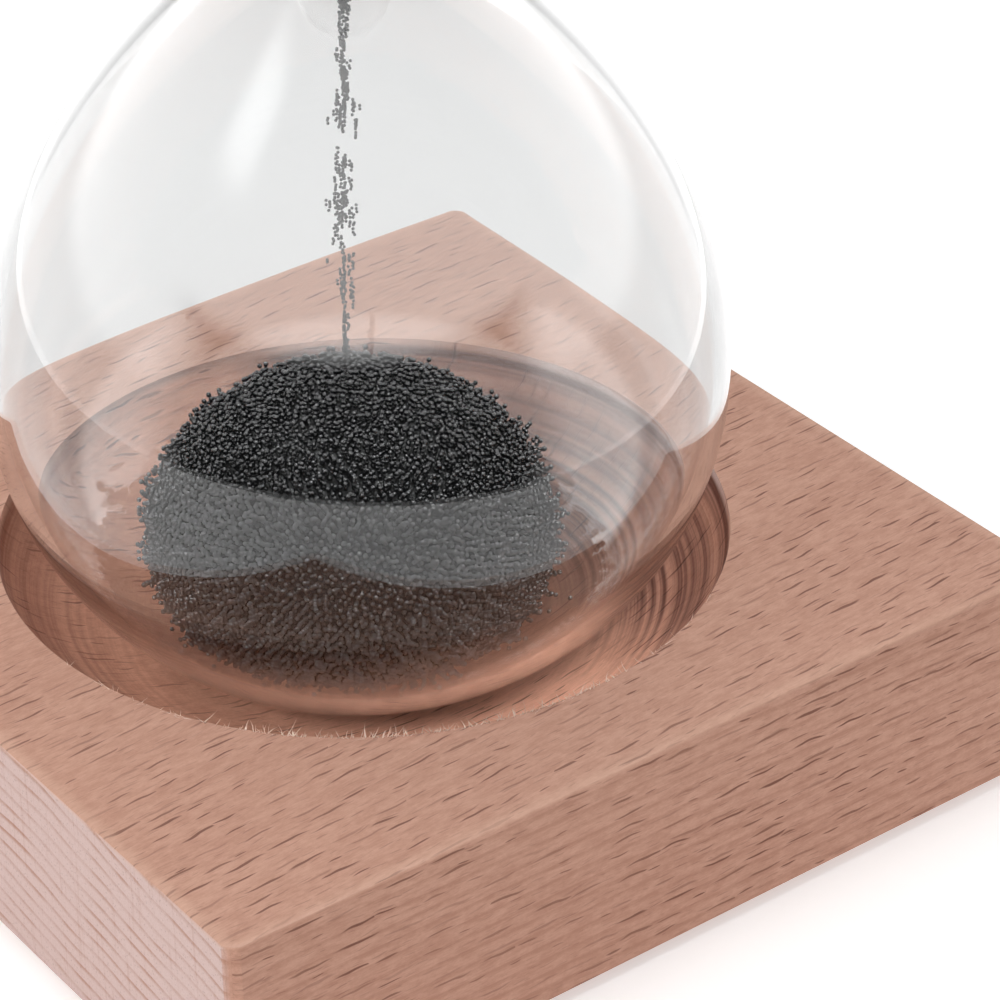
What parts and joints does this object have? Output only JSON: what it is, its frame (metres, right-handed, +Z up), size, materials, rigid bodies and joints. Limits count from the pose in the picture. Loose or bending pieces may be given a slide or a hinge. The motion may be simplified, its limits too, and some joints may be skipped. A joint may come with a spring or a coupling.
{
  "type": "magnetic hourglass",
  "caption": "Sealed glass hourglass of iron beads that stands in the dished top of a square beech block over a hidden disc magnet, so the fallen beads form a spiky heap",
  "frame": {"origin": "centre of the felt sheet's underside, on the table", "axes": "+Z up along the hourglass, X along the wood grain, -Y the long-grain front face"},
  "size_m": [0.084, 0.084, 0.1576],
  "materials": {
    "beech": "fine sanded, unvarnished beech with short dark flecks",
    "felt": "pressed black felt",
    "magnet_plating": "bright nickel plating",
    "plug_wood": "sanded beech plug",
    "clear_glass": "clear blown borosilicate glass",
    "iron": "near-black glossy iron beads"
  },
  "bodies": {
    "base": {"wood_base": "beech", "felt_sheet": "felt", "magnet": "magnet_plating", "pocket_plug": "plug_wood"},
    "passing_grains": {"neck_grains": "iron"},
    "hourglass": {"glass_vessel": "clear_glass", "iron_heap": "iron", "falling_grains": "iron", "waiting_grains": "iron", "stray_grains": "iron"}
  },
  "joints": [
    {"name": "glass_lift", "type": "slide", "parent": "base", "child": "passing_grains", "axis": [0, 0, 1], "range_m": [0, 0.1]},
    {"name": "glass_flip", "type": "hinge", "parent": "passing_grains", "child": "hourglass", "pos_m": [0, 0, 0.0828], "axis": [0, 1, 0], "range_deg": [0, 180.1]}
  ],
  "couplings": [
    {"joint": "glass_flip", "follows": "glass_lift", "rad_per_m": 31.416}
  ]
}
